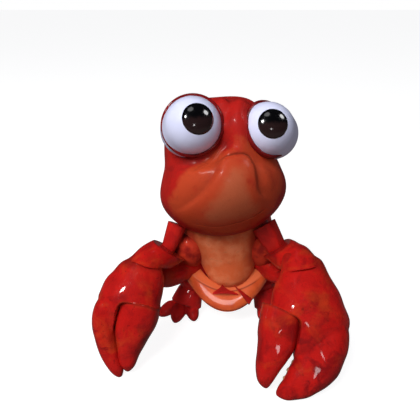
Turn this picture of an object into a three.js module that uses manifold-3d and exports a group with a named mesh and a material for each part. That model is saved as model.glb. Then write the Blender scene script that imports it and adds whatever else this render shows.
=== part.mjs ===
// A glossy red lobster figurine that stands on two clawed feet, rests the tips of its two big
// claws on the table in front of it, and looks up with two bulging white eyes.
// Millimetres, +Z up, +X to the right as seen from the front, and the figurine faces -Y.
import * as THREE from "three";
import { mergeVertices } from "three/addons/utils/BufferGeometryUtils.js";
import Module from "manifold-3d";

const wasm = await Module();
wasm.setup();

// ---- driving dimensions -------------------------------------------------------------------

const seam = 0.32; // air left between two pieces that touch
const tableTop = 0;
const below = { wide: 300, deep: 60 }; // the block under the table top, larger than the figurine

const headSize = {
  centre: [-3.2, 10.6, 75.9], // level with the jowls
  turn: 7, // degrees towards +X
  tiltBack: 33, // degrees up from level
  roll: 3, // degrees, the right eye lower
  halfWidth: 30.6,
  front: 29.5,
  back: 27,
  crown: 41.6,
  chin: 25.5,
  narrowing: { by: 0.1, from: -0.35, to: 0.5 }, // the forehead is this much narrower than the jowls
};

const eyes = {
  left: { centre: [-16.7, -1.1, 108], radius: 12.7, gaze: [0.25, -0.84, 0.48], lid: [-0.05, -0.92, 0.39], rear: [-0.39, 0.75, -0.56] },
  right: { centre: [17.1, 3.8, 105], radius: 12.2, gaze: [0.08, -0.88, 0.47], lid: [0.55, -0.69, 0.47], rear: [0.46, 0.74, -0.57] },
};
const pupil = { halfAngle: 32, proud: 0.35, depth: 1.8 };
const eyeball = { long: 5.6, rearSize: 0.98 }; // the ball is drawn out by this much towards its rear
const lid = { tube: 0.9, thick: 1.45, out: 0.45 };

// ---- small helpers ------------------------------------------------------------------------

const radians = THREE.MathUtils.degToRad;
const vec = (p) => new THREE.Vector3(...p);

// A closed geometry as a solid, with its vertices merged by place alone.
function solidOf(geometry, matrix = new THREE.Matrix4()) {
  const bare = new THREE.BufferGeometry();
  const source = geometry.index ? geometry.toNonIndexed() : geometry;
  bare.setAttribute("position", source.getAttribute("position").clone());
  bare.applyMatrix4(matrix);
  const merged = mergeVertices(bare, 1e-3);
  return new wasm.Manifold(
    new wasm.Mesh({
      numProp: 3,
      vertProperties: new Float32Array(merged.attributes.position.array),
      triVerts: new Uint32Array(merged.index.array),
    }),
  );
}

// A solid's geometry, keeping only its largest body.
function geometryOf(solid) {
  const bodies = solid.decompose().sort((a, b) => b.volume() - a.volume());
  const mesh = bodies[0].getMesh();
  const geometry = new THREE.BufferGeometry();
  const places = [];
  for (let i = 0; i < mesh.numVert; i++) {
    places.push(...mesh.vertProperties.subarray(i * mesh.numProp, i * mesh.numProp + 3));
  }
  geometry.setAttribute("position", new THREE.Float32BufferAttribute(places, 3));
  geometry.setIndex(new THREE.BufferAttribute(new Uint32Array(mesh.triVerts), 1));
  geometry.computeVertexNormals();
  return geometry;
}

// The same shape a little larger: every vertex moves out along its normal.
function swollen(geometry, by = seam) {
  const bare = new THREE.BufferGeometry();
  const source = geometry.index ? geometry.toNonIndexed() : geometry;
  bare.setAttribute("position", source.getAttribute("position").clone());
  const merged = mergeVertices(bare, 1e-3);
  merged.computeVertexNormals();
  const { position, normal } = merged.attributes;
  for (let i = 0; i < position.count; i++) {
    position.setXYZ(
      i,
      position.getX(i) + by * normal.getX(i),
      position.getY(i) + by * normal.getY(i),
      position.getZ(i) + by * normal.getZ(i),
    );
  }
  return merged;
}

const joined = (...geometries) =>
  geometryOf(geometries.map((g) => solidOf(g)).reduce((a, b) => a.add(b)));

const carved = (geometry, ...tools) =>
  geometryOf(tools.reduce((left, tool) => left.subtract(solidOf(tool)), solidOf(geometry)));

// Everything under the table top is cut off, which leaves flat spots to stand on.
function standing(geometry) {
  const block = new THREE.BoxGeometry(below.wide, below.wide, below.deep).translate(0, 0, tableTop - below.deep / 2);
  return carved(geometry, block);
}

// A rounded limb or shell along a spine. Each rib is [x, y, z, half width, half thickness].
// The width runs along "across", made square to the spine. "round" gives the share of the
// length over which the first and the last end close.
function limb({ ribs, across = [1, 0, 0], round = [0.15, 0.15], square = 2, sides = 16, rings = 12 }) {
  const spine = new THREE.CatmullRomCurve3(ribs.map((r) => vec(r.slice(0, 3))), false, "catmullrom", 0.5);
  const sizes = new THREE.CatmullRomCurve3(ribs.map((r) => vec([r[3], r[4], 0])), false, "catmullrom", 0.5);
  const geometry = new THREE.SphereGeometry(1, sides, rings);
  const { position } = geometry.attributes;
  const wide = new THREE.Vector3();
  const thick = new THREE.Vector3();
  for (let i = 0; i < position.count; i++) {
    const unit = new THREE.Vector3().fromBufferAttribute(position, i);
    const t = THREE.MathUtils.clamp((1 - unit.y) / 2, 0, 1);
    const ring = Math.hypot(unit.x, unit.z);
    const turn = Math.atan2(unit.z, unit.x);
    const bulge = (Math.abs(Math.cos(turn)) ** square + Math.abs(Math.sin(turn)) ** square) ** (-1 / square);
    const close = ring < 1e-6 ? 0 : closing(t, round[0]) * closing(1 - t, round[1]) * bulge;
    const at = spine.getPoint(t);
    const size = sizes.getPoint(t);
    const along = spine.getTangent(t);
    wide.copy(vec(across)).addScaledVector(along, -vec(across).dot(along)).normalize();
    thick.crossVectors(along, wide);
    at.addScaledVector(wide, close * size.x * Math.cos(turn));
    at.addScaledVector(thick, close * size.y * Math.sin(turn));
    position.setXYZ(i, at.x, at.y, at.z);
  }
  return geometry;
}

// How far an end has opened at a share t of the length: a quarter circle over the given share.
function closing(t, share) {
  return t >= share ? 1 : Math.sqrt(Math.max(0, 1 - (1 - t / share) ** 2));
}

const bump = (distance, width) => Math.exp(-((distance / width) ** 2));

function mesh(name, geometry, material) {
  const made = new THREE.Mesh(geometry, material);
  made.name = name;
  return made;
}

function paint(colour, roughness) {
  return new THREE.MeshStandardMaterial({ color: colour, roughness, metalness: 0 });
}

const cookedRed = paint(0xb01512, 0.22);
const deepRed = paint(0x8e1113, 0.25);
const headOrange = paint(0xb5341a, 0.35);
const chestOrange = paint(0xb35a38, 0.5);
const bellyOrange = paint(0xe0743f, 0.15);
const eyeWhite = paint(0xe6e8ff, 0.4);
const pupilBrown = paint(0x0c0808, 0.08);

// ---- head, eyes and eyelids -----------------------------------------------------------------

// The head's own axes: side (+X of the face), ahead and up.
const headFrame = (() => {
  const turn = radians(headSize.turn);
  const tilt = radians(headSize.tiltBack);
  const ahead = vec([Math.sin(turn) * Math.cos(tilt), -Math.cos(turn) * Math.cos(tilt), Math.sin(tilt)]);
  const level = vec([Math.cos(turn), Math.sin(turn), 0]);
  const side = level.clone().applyAxisAngle(ahead, radians(headSize.roll));
  const up = new THREE.Vector3().crossVectors(ahead, side);
  return { side, ahead, up };
})();

// The frown runs over the muzzle and down to both jowls. Its height is an angle above the
// level of the jowls, which falls to either side.
const frown = { top: 21, drop: 50, reach: 48, curve: 1.3, depth: 1.7, width: 5.5 };
const upperLip = { above: 9, width: 6, height: 0.9 };
const frownHeight = (sideways) => frown.top - frown.drop * (Math.abs(sideways) / frown.reach) ** frown.curve;

// A dent or swelling of the head: where it lies as (side, ahead, up), how broad it is to the
// side and in height, and how far it moves the skin.
const brow = { up: 0.7, ahead: 0.71, broad: 1.1, tall: 0.4, by: -6 };
const jowl = { side: 0.86, ahead: 0.3, up: -0.25, size: 0.5, by: 1.2 };
const muzzle = { ahead: 0.97, up: -0.05, broad: 0.5, size: 0.55, by: 2.6 };
const crownSquare = { from: 0.3, to: 0.9, by: 1.5 }; // the crown is a little boxier than an egg
const faceSide = { from: 0.1, to: 0.45 }; // how far ahead the frown begins

// Distance from the head's centre to its skin, towards (side, ahead, up).
function headRadius(side, ahead, up) {
  const depth = ahead > 0 ? headSize.front : headSize.back;
  const height = up > 0 ? headSize.crown : headSize.chin;
  const square = 2 + crownSquare.by * THREE.MathUtils.smoothstep(up, crownSquare.from, crownSquare.to);
  const { by, from, to } = headSize.narrowing;
  const wide = headSize.halfWidth * (1 - by * THREE.MathUtils.smoothstep(up, from, to));
  const egg =
    (Math.abs(side / wide) ** square + Math.abs(ahead / depth) ** square + Math.abs(up / height) ** square) ** (-1 / square);
  const sideways = THREE.MathUtils.radToDeg(Math.atan2(side, Math.max(ahead, 0.02)));
  const elevation = THREE.MathUtils.radToDeg(Math.asin(THREE.MathUtils.clamp(up, -1, 1)));
  const browDent = brow.by * bump(side, brow.broad) * bump(Math.hypot(ahead - brow.ahead, up - brow.up), brow.tall);
  const jowls = jowl.by * bump(Math.hypot(Math.abs(side) - jowl.side, ahead - jowl.ahead, up - jowl.up), jowl.size);
  const nose = muzzle.by * bump(Math.hypot(side / muzzle.broad / 2, ahead - muzzle.ahead, up - muzzle.up), muzzle.size);
  const front = THREE.MathUtils.smoothstep(ahead, faceSide.from, faceSide.to);
  const off = elevation - frownHeight(sideways);
  const reach = bump(sideways, frown.reach);
  const crease = frown.depth * bump(off, frown.width) * reach;
  const lip = upperLip.height * bump(off - upperLip.above, upperLip.width) * reach;
  return egg + browDent + jowls + nose + front * (lip - crease);
}

function headSkin(sides, rings) {
  const geometry = new THREE.SphereGeometry(1, sides, rings);
  const { position } = geometry.attributes;
  const { side, ahead, up } = headFrame;
  for (let i = 0; i < position.count; i++) {
    // The sphere's poles lie at the crown and under the chin.
    const s = position.getX(i);
    const u = position.getY(i);
    const a = position.getZ(i);
    const r = headRadius(s, a, u);
    const at = vec(headSize.centre)
      .addScaledVector(side, s * r)
      .addScaledVector(ahead, a * r)
      .addScaledVector(up, u * r);
    position.setXYZ(i, at.x, at.y, at.z);
  }
  return geometry;
}

const turnedTo = (direction) =>
  new THREE.Matrix4().makeRotationFromQuaternion(
    new THREE.Quaternion().setFromUnitVectors(new THREE.Vector3(0, 1, 0), vec(direction).normalize()),
  );

// A ball whose rear half is a little narrower and drawn out into the head.
function ball(eye, extra = 0) {
  const geometry = new THREE.SphereGeometry(eye.radius + extra, 16, 11);
  const { position } = geometry.attributes;
  for (let i = 0; i < position.count; i++) {
    if (position.getY(i) < seam / 2) continue;
    position.setXYZ(
      i,
      position.getX(i) * eyeball.rearSize,
      position.getY(i) * eyeball.rearSize + eyeball.long,
      position.getZ(i) * eyeball.rearSize,
    );
  }
  return geometry.applyMatrix4(turnedTo(eye.rear)).translate(...eye.centre);
}

// A lens with a domed face, set into the front of the eyeball.
function pupilLens(eye, extra = 0) {
  const outer = eye.radius + pupil.proud + extra;
  const edge = radians(pupil.halfAngle) + extra / eye.radius;
  const back = (eye.radius - pupil.depth) * Math.cos(edge) - extra;
  const rim = outer * Math.sin(edge);
  const profile = [new THREE.Vector2(0, back), new THREE.Vector2(rim, back)];
  const steps = 5;
  for (let i = 0; i <= steps; i++) {
    const angle = edge * (1 - i / steps);
    profile.push(new THREE.Vector2(i === steps ? 0 : outer * Math.sin(angle), outer * Math.cos(angle)));
  }
  return new THREE.LatheGeometry(profile, 20)
    .applyMatrix4(turnedTo(eye.gaze))
    .translate(...eye.centre);
}

// A ring of lid round the ball.
function lidRing(eye) {
  const ring = new THREE.TorusGeometry(eye.radius + lid.out, lid.tube, 5, 20);
  ring.rotateX(-Math.PI / 2);
  ring.scale(1, lid.thick / lid.tube, 1);
  return ring.applyMatrix4(turnedTo(eye.lid)).translate(...eye.centre);
}

const eyeNames = ["left", "right"];
const skin = headSkin(27, 17);
const headParts = new THREE.Group();
const lidSolids = {};
for (const name of eyeNames) {
  const eye = eyes[name];
  headParts.add(mesh(`pupil_${name}`, pupilLens(eye), pupilBrown));
  headParts.add(mesh(`eyeball_${name}`, carved(ball(eye), pupilLens(eye, seam)), eyeWhite));
  lidSolids[name] = carved(lidRing(eye), ball(eye, seam));
  headParts.add(mesh(`eyelid_${name}`, lidSolids[name], deepRed));
}
const headTools = eyeNames.flatMap((name) => [ball(eyes[name], seam), swollen(lidSolids[name])]);
headParts.add(mesh("head", carved(skin, ...headTools), headOrange));

// ---- body -----------------------------------------------------------------------------------

const torsoShape = limb({
  ribs: [
    [0, 17.5, 15, 16, 13.5],
    [0, 18, 24, 18, 15],
    [0, 18.5, 33, 20, 15.5],
    [-0.3, 18.5, 43, 22.5, 15.6],
    [-1, 18, 52, 22.5, 15.6],
    [-2, 18, 62, 16, 13],
  ],
  round: [0.08, 0.3],
  square: 2.2,
  sides: 16,
  rings: 9,
});
const chestShape = limb({
  ribs: [
    [2.4, 8, 19.5, 7, 8.2],
    [1.6, 7.8, 26.5, 12, 9.6],
    [0.4, 8.6, 36, 15.2, 9.2],
    [-1.6, 9.4, 45, 18.4, 9.4],
    [-2.6, 10.4, 52, 20.4, 9],
    [-3.6, 11.2, 59, 20.4, 8.4],
  ],
  round: [0.2, 0.1],
  sides: 18,
  rings: 10,
});
const flankShape = (side) =>
  limb({
    ribs: [[side * 16.8, 11.5, 29.5, 5.6, 6], [side * 18.8, 9, 39.5, 8.6, 7.8], [side * 20.4, 9.6, 50, 8.4, 7.6]],
    round: [0.45, 0.45],
    sides: 11,
    rings: 7,
  });

// The hips are a bowl in which the chest sits. It is deep and pointed in front, and its rim
// climbs to the sides. Its three profiles are (radius, height) from the bottom to the inside.
const bowl = {
  centreY: 15.5,
  behind: 0.9, // depth over width behind the centre
  point: 2, // how sharply the front stands out
  rearEase: 0.6,
  sides: 20,
  front: [
    [0, 5], [8, 5.6], [14.5, 7.4], [20, 10.4], [21.8, 12.4], [20.6, 16.9], [17.5, 21.3], [16.6, 21.9],
    [14.8, 22.6], [14.2, 20], [0, 19],
  ],
  side: [
    [0, 5], [6, 7], [11, 11], [17.6, 18.4], [23.4, 25.2], [24.6, 28.2], [24.3, 30.2], [22.8, 31.2],
    [16.6, 31.2], [14.6, 22], [0, 19],
  ],
  back: [
    [0, 5], [9, 5.7], [15, 8], [20, 14], [21.6, 18.4], [21.8, 21.6], [21.4, 23.4], [20.4, 24.4],
    [15.4, 25.2], [14.6, 20], [0, 19],
  ],
};
function hipBowlShape() {
  const shape = new THREE.LatheGeometry(bowl.side.map(([r, z]) => new THREE.Vector2(r, z)), bowl.sides);
  const { position } = shape.attributes;
  const rows = bowl.side.length;
  for (let i = 0; i < position.count; i++) {
    const row = i % rows;
    const angle = (Math.floor(i / rows) / bowl.sides) * Math.PI * 2; // from straight in front
    const ahead = Math.max(Math.cos(angle), 0) ** bowl.point;
    const behind = Math.max(-Math.cos(angle), 0) ** bowl.rearEase;
    const [r, z] = bowl.side[row].map(
      (size, k) => size + (bowl.front[row][k] - size) * ahead + (bowl.back[row][k] - size) * behind,
    );
    const deep = Math.cos(angle) > 0 ? 1 : bowl.behind;
    position.setXYZ(i, r * Math.sin(angle), bowl.centreY - r * Math.cos(angle) * deep, z);
  }
  return shape;
}

// Two thin spikes stand out of the front of the bowl.
const spikeSizes = {
  left: { from: [-1.95, -2.45, 19.6], to: [-2.9, -4.2, 27.6], width: 16.4, thick: 2.6, flare: 1.7 },
  right: { from: [11.8, -3.7, 16.1], to: [2.8, -5, 27.5], width: 3.8, thick: 2.4, flare: 1 },
};

// The carapace wraps the back from behind the head to the hips.
const carapaceShape = limb({
  ribs: [
    [-2, 27, 66, 15, 10],
    [-2, 25, 57, 22.5, 14],
    [-1, 23.5, 46, 25.6, 16],
    [0, 23.5, 34, 23.6, 15.5],
    [0, 25, 22, 18, 12.5],
  ],
  round: [0.3, 0.12],
  sides: 16,
  rings: 8,
});

const flankPieces = [-1, 1].map(flankShape);
const flankTools = flankPieces.map((piece) => swollen(piece));
const torsoTool = swollen(torsoShape);
const chestTool = swollen(chestShape);
const skinTool = swollen(skin);
const bowlTool = swollen(hipBowlShape());

const bodyParts = new THREE.Group();
bodyParts.add(mesh("chest", carved(chestShape, skinTool), chestOrange));
bodyParts.add(mesh("torso", carved(torsoShape, skinTool, chestTool), deepRed));
bodyParts.add(mesh("hip_bowl", carved(hipBowlShape(), torsoTool, chestTool), bellyOrange));
flankPieces.forEach((piece, i) => {
  bodyParts.add(mesh(`flank_${eyeNames[i]}`, carved(piece, torsoTool, chestTool, skinTool, bowlTool), deepRed));
});

// ---- arms and claws --------------------------------------------------------------------------

const armSizes = {
  left: {
    shoulder: { ribs: [[-25.2, 7, 55.8, 5, 4.8], [-28.6, 3.6, 47.5, 4, 4], [-31, 1.8, 41.5, 3.2, 3.2]], square: 2.2, across: [1, 0, 0] },
    upper: [[-15, 15, 33, 6, 6.5], [-22, 8, 29.5, 6.5, 6.2], [-30, 1, 29.5, 6.4, 6.2], [-36, -4, 32, 5, 5]],
    cap: [[-21.5, 5.5, 47.5, 8, 7.4], [-27.5, 0.8, 44.8, 8, 7.8], [-33.2, -4.6, 44.4, 8.5, 8], [-38.2, -9.8, 43.8, 7.8, 8.2], [-41, -14.6, 40.6, 8.6, 8.4]],
    mouth: { at: [-26.2, -1, 43.1], facing: [0.58, 0.32, 0.75] },
    cuff: { at: [-40.1, -12.3, 44.2], facing: [-0.23, -0.41, -0.88] },
    wrist: [-40, -13, 44],
    tip: [-49.5, -38, 1.2],
    medial: 1,
    palm: [[1, -6, 6, 4.4], [0.6, -1.5, 8, 5.6], [-0.2, 3, 11, 7.2], [-1.6, 9, 13, 8.9], [-3, 15, 14.6, 10], [-3.6, 21, 15, 10.2], [-5.2, 29, 13, 8.8], [-7.4, 36, 8.6, 6]],
    hinge: { along: 17.6, medial: -7.2 },
    finger: [[-7, 12, 7, 7], [-12.4, 22, 6.2, 7.6], [-12.8, 29.6, 5.6, 6.8], [-11.2, 35, 5.3, 6.1], [-8.8, 40, 4.8, 5.4], [-5.2, 45.8, 3.9, 4.6], [-0.4, 52.6, 2.2, 2.5]],
    dactyl: [[1.9, 17.6, 9.9, 9.6], [1.6, 23, 9.8, 9.2], [1, 29.6, 8.9, 8.2], [0.9, 35.2, 7.2, 7.2], [1, 40.6, 5.2, 5.8], [1.6, 45.4, 3.6, 4.2], [2.2, 49.4, 2, 2.2]],
  },
  right: {
    shoulder: { ribs: [[17.8, 6.5, 55.6, 5.6, 5.2], [22, 3.2, 49, 4.8, 4.4], [26, 1, 42.5, 3.8, 3.6]], square: 4.5, across: [1, -0.6, 0] },
    upper: [[15, 15, 34, 6, 6.5], [21, 8, 31, 6, 6], [27, 1, 30, 6, 6], [32, -4, 34, 5, 5]],
    cap: [[18.5, 5.5, 48.5, 7, 7], [24.2, 0.2, 45.4, 7.2, 7.6], [28.8, -5.8, 44.8, 8, 8.4], [33, -13, 44.6, 8.2, 8.8], [34, -19, 40.6, 9.2, 9.2]],
    mouth: { at: [23.1, -1, 45.6], facing: [-0.6, 0.3, 0.74] },
    cuff: { at: [32.9, -16, 44.6], facing: [0.19, -0.415, -0.888] },
    wrist: [34, -15, 46],
    tip: [22.1, -50.5, 2.2],
    medial: -1,
    palm: [[1.6, -6, 6.5, 4], [1, -1.5, 9, 5.6], [-1.2, 4.6, 11.4, 7.4], [-3.2, 12, 14.8, 9.8], [-5.2, 19, 17, 11.4], [-7.2, 27, 18.8, 11.2], [-8.8, 36, 15, 9.6], [-10.6, 44, 9.8, 7.6]],
    hinge: { along: 25.2, medial: -2.4 },
    finger: [[-8, 15, 10, 9], [-14.8, 28, 10.5, 9], [-14.6, 37, 10.5, 8.4], [-12.6, 43.8, 9.8, 7.6], [-8.6, 50, 7.8, 6.6], [-3.8, 55, 5.2, 5], [2.2, 59, 2.3, 2.4]],
    dactyl: [[6, 25.4, 8.8, 9.6], [5.8, 30, 9.2, 9.4], [5.7, 36.6, 8.6, 8.4], [6.7, 42.4, 7.2, 7.6], [7.6, 47.8, 5.7, 6.4], [7.8, 52.6, 4.3, 4.8], [6.8, 57.4, 2.3, 2.4]],
  },
};

// A claw's own axes: across towards the figurine's middle, along to the tip, and out of its back.
function clawMatrix({ wrist, tip, medial }) {
  const along = vec(tip).sub(vec(wrist)).normalize();
  const across = new THREE.Vector3(medial, 0, 0).addScaledVector(along, -medial * along.x).normalize();
  const back = new THREE.Vector3().crossVectors(across, along);
  return new THREE.Matrix4().makeBasis(across, along, back).setPosition(vec(wrist));
}

// What a plane leaves of a shape, on the side that the plane faces away from.
function trimmed(geometry, ...planes) {
  return geometryOf(planes.reduce((left, { at, facing }) => {
    const away = vec(facing).normalize().negate();
    return left.trimByPlane(away.toArray(), away.dot(vec(at)));
  }, solidOf(geometry)));
}

const inClaw = (ribs, options) => limb({ ribs: ribs.map(([m, a, w, h]) => [m, a, 0, w, h]), ...options });

const fingerSquare = 2.5; // the fingers are a little squarer than round
const palmCut = { wide: 40, long: 60 }; // a box that takes in all of the palm beyond the hinge
const armTools = [];
const armUppers = [];
for (const name of eyeNames) {
  const arm = armSizes[name];
  const sleeve = limb({ ribs: arm.cap, across: [0.2, 0, 1], round: [0.04, 0.04], sides: 14, rings: 9 });
  const cap = trimmed(sleeve, arm.mouth, arm.cuff);
  const collar = limb({ ...arm.shoulder, round: [0.02, 0.02], sides: 12, rings: 5 });
  const upper = limb({ ribs: arm.upper, across: [0, 0, 1], round: [0.2, 0.2], sides: 10, rings: 7 });

  const matrix = clawMatrix(arm);
  // The thumb's hinge is a straight step across the palm.
  const beyond = new THREE.BoxGeometry(palmCut.wide, palmCut.long, palmCut.wide)
    .translate(arm.hinge.medial + palmCut.wide / 2, arm.hinge.along + palmCut.long / 2, 0);
  const palmBare = carved(inClaw(arm.palm, { round: [0.1, 0.35], sides: 14, rings: 10 }), beyond);
  const fingerBare = inClaw(arm.finger, { round: [0.2, 0.1], square: fingerSquare, sides: 12, rings: 10 });
  const thumb = inClaw(arm.dactyl, { round: [0.03, 0.14], square: fingerSquare, sides: 12, rings: 10 }).applyMatrix4(matrix);
  const palm = joined(palmBare, fingerBare).applyMatrix4(matrix);

  const capTool = swollen(cap);
  const collarTool = swollen(collar);
  const palmTool = swollen(palm);
  const armGroup = new THREE.Group();
  armGroup.add(mesh(`shoulder_${name}`, carved(collar, torsoTool, chestTool, capTool, skinTool, ...flankTools), deepRed));
  armGroup.add(mesh(`elbow_${name}`, carved(cap, ...flankTools), cookedRed));
  armGroup.add(mesh(`claw_${name}`, standing(carved(palm, capTool, swollen(thumb))), cookedRed));
  armGroup.add(mesh(`claw_thumb_${name}`, standing(thumb), cookedRed));
  armGroup.add(mesh(
    `upper_arm_${name}`,
    carved(upper, torsoTool, chestTool, bowlTool, capTool, palmTool, ...flankTools),
    deepRed,
  ));
  armTools.push(swollen(upper), collarTool, capTool);
  armUppers.push(upper);
  bodyParts.add(armGroup);
}

// ---- legs and feet ----------------------------------------------------------------------------

const legSizes = {
  thigh: [[13, 16, 24, 6, 7], [18.4, 13.5, 17.5, 7.4, 7.4], [21, 11, 12.5, 6.6, 6.8]],
  shin: [[18.6, 13, 14, 6.6, 6], [20.6, 10.5, 10, 7.6, 6.2], [22.4, 8, 5.2, 8.8, 6]],
  foot: [[23.6, 12, 4, 6.4, 5], [25.2, 6, 3.6, 8.4, 4.6]],
  toes: [
    [[20, 9, 4, 4, 4], [18.4, 4, 3.2, 3.5, 3.6], [17.3, -1, 1.6, 1.9, 2.1]],
    [[25, 8, 4, 4.4, 4.4], [26.6, 3, 3.2, 3.8, 3.8], [27.9, -2.4, 1.6, 2, 2.1]],
    [[28, 10, 4, 4, 4], [32.4, 7, 3.2, 3.6, 3.6], [36.8, 3.4, 1.6, 2, 2.1]],
  ],
};
const rightFootOut = 1.6; // the right leg stands this much wider
const legTools = [];
[-1, 1].forEach((side, i) => {
  const placed = (ribs) => ribs.map(([x, ...rest]) => [side * x + (side > 0 ? rightFootOut : 0), ...rest]);
  const part = (ribs, options) => limb({ ribs: placed(ribs), sides: 10, rings: 7, round: [0.3, 0.3], ...options });
  const thigh = part(legSizes.thigh, { round: [0.4, 0.4] });
  const shin = part(legSizes.shin, { round: [0.2, 0.12] });
  const sole = part(legSizes.foot, { round: [0.45, 0.45], rings: 5 });
  const toes = legSizes.toes.map((ribs) => part(ribs, { round: [0.3, 0.2], sides: 7, rings: 5 }));
  const foot = standing(joined(shin, sole, ...toes));
  bodyParts.add(mesh(`thigh_${eyeNames[i]}`, carved(thigh, bowlTool, torsoTool, swollen(armUppers[i])), deepRed));
  bodyParts.add(mesh(`foot_${eyeNames[i]}`, carved(foot, swollen(thigh), bowlTool), cookedRed));
  legTools.push(swollen(thigh), swollen(foot));
});

const spikeSteps = 4;
for (const [name, { from, to, width, thick, flare }] of Object.entries(spikeSizes)) {
  const span = vec(to).sub(vec(from));
  const profile = [new THREE.Vector2(0, 0)];
  for (let i = 0; i <= spikeSteps; i++) {
    profile.push(new THREE.Vector2((1 - i / spikeSteps) ** flare, (span.length() * i) / spikeSteps));
  }
  const spike = new THREE.LatheGeometry(profile, 8)
    .scale(width / 2, 1, thick / 2)
    .applyMatrix4(turnedTo(span.toArray()))
    .translate(...from);
  bodyParts.add(mesh(`spike_${name}`, carved(spike, bowlTool, chestTool), deepRed));
}

bodyParts.add(mesh(
  "carapace",
  carved(carapaceShape, torsoTool, chestTool, skinTool, bowlTool, ...flankTools, ...armTools, ...legTools),
  cookedRed,
));

// ---- tail -------------------------------------------------------------------------------------

// Each segment is [centre y, centre z, half width, half height, half length], and each one
// slips under the one before it.
const tailSegments = [
  [34.8, 21.5, 16, 8.6, 6.2],
  [39.4, 15.8, 14.6, 7.6, 6],
  [43.8, 10.6, 13, 6.4, 5.8],
  [48.4, 6.8, 11.2, 5.2, 5.4],
];
const tailTurns = [44, 50, 42, 26]; // degrees down from level
const segmentTaper = { front: 0.86, middle: 0.96 };
let ahead = [torsoTool, bowlTool, swollen(carapaceShape), ...legTools];
tailSegments.forEach(([y, z, halfWidth, halfHeight, halfLength], i) => {
  const down = radians(tailTurns[i]);
  const dy = Math.cos(down) * halfLength;
  const dz = -Math.sin(down) * halfLength;
  const segment = limb({
    ribs: [
      [0, y - dy, z - dz, halfWidth * segmentTaper.front, halfHeight * segmentTaper.front],
      [0, y, z, halfWidth * segmentTaper.middle, halfHeight * segmentTaper.middle],
      [0, y + dy, z + dz, halfWidth, halfHeight],
    ],
    round: [0.2, 0.12],
    sides: 14,
    rings: 7,
  });
  bodyParts.add(mesh(`tail_${i + 1}`, standing(carved(segment, ...ahead)), cookedRed));
  ahead = [swollen(segment), bowlTool, ...legTools];
});

// The fan's blades spread flat on the table behind the last segment.
const fanBlades = {
  middle: [[0, 50, 4.6, 3.4, 1.8], [0, 55.4, 3, 5, 1.7], [0, 60, 1.9, 3.8, 1.3]],
  left: [[-3, 49, 4.8, 3, 1.8], [-8, 53.6, 3, 4.6, 1.7], [-11.6, 57, 1.9, 3.4, 1.3]],
  right: [[3, 49, 4.8, 3, 1.8], [8, 53.6, 3, 4.6, 1.7], [11.6, 57, 1.9, 3.4, 1.3]],
};
for (const [name, ribs] of Object.entries(fanBlades)) {
  const blade = limb({ ribs, round: [0.2, 0.35], sides: 10, rings: 6 });
  bodyParts.add(mesh(`tail_fan_${name}`, standing(carved(blade, ...ahead)), cookedRed));
  ahead.push(swollen(blade));
}

// ---- the whole figurine, with the middle of its footprint over the origin ---------------------

const figurine = new THREE.Group();
figurine.add(headParts, bodyParts);
figurine.updateMatrixWorld(true);
const extent = new THREE.Box3().setFromObject(figurine, true);
const middle = extent.getCenter(new THREE.Vector3());
figurine.position.set(-middle.x, -middle.y, tableTop - extent.min.z);
export default figurine;
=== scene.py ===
import bpy, math
import numpy as np
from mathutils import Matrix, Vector


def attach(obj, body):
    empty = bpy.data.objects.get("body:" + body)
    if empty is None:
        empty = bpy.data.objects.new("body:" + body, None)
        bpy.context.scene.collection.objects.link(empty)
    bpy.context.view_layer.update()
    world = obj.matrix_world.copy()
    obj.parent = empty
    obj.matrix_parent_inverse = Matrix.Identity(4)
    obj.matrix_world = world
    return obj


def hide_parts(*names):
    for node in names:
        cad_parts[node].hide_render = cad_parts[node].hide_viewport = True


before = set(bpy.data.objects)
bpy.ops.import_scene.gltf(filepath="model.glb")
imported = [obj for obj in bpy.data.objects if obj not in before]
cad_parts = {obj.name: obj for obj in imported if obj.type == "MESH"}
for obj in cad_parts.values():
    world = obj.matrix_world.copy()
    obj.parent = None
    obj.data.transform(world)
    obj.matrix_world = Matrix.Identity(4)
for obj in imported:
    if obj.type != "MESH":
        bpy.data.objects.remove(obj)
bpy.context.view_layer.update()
print("frame loaded")

mm = 0.001
figureShift = np.array([4.9482, -2.7955, 0.0])  # the figure's own axes stand here in the frame, mm


def unit(v):
    v = np.asarray(v, float)
    return v / np.linalg.norm(v, axis=-1, keepdims=True)


def ease(x, low, high):  # 0 below low, 1 above high
    s = np.clip((x - low) / (high - low), 0, 1)
    return s * s * (3 - 2 * s)


def bell(distance, width):
    return np.exp(-(distance / width) ** 2)


def spline(ribs, t):  # values and slopes at shares t of a smooth line through the ribs
    ribs = np.asarray(ribs, float)
    p = (len(ribs) - 1) * np.clip(t, 0, 1)
    i = np.minimum(np.floor(p).astype(int), len(ribs) - 2)
    w = (p - i)[:, None]
    wide = np.vstack([2 * ribs[0] - ribs[1], ribs, 2 * ribs[-1] - ribs[-2]])
    a, b, c, d = wide[i], wide[i + 1], wide[i + 2], wide[i + 3]
    s0, s1 = (c - a) / 2, (d - b) / 2
    k2, k3 = -3 * b + 3 * c - 2 * s0 - s1, 2 * b - 2 * c + s0 + s1
    return b + s0 * w + k2 * w**2 + k3 * w**3, s0 + 2 * k2 * w + 3 * k3 * w**2


def nearest(points, path, samples=90):  # distance to a smooth path, share of it passed, foot, direction
    line, _ = spline(path, np.linspace(0, 1, samples))
    best = np.full(len(points), 1e9)
    share, foot, run = np.zeros(len(points)), np.zeros((len(points), 3)), np.zeros((len(points), 3))
    for n, (p, q) in enumerate(zip(line[:-1], line[1:])):
        step = q - p
        s = np.clip(((points - p) @ step) / (step @ step), 0, 1)
        at = p + s[:, None] * step
        far = np.linalg.norm(points - at, axis=1)
        closer = far < best
        best[closer] = far[closer]
        share[closer] = (n + s[closer]) / (samples - 1)
        foot[closer], run[closer] = at[closer], step
    return best, share, foot, run


def closing(t, share):
    return np.where(t >= share, 1, np.sqrt(np.clip(1 - (1 - t / share) ** 2, 0, 1)))


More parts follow.
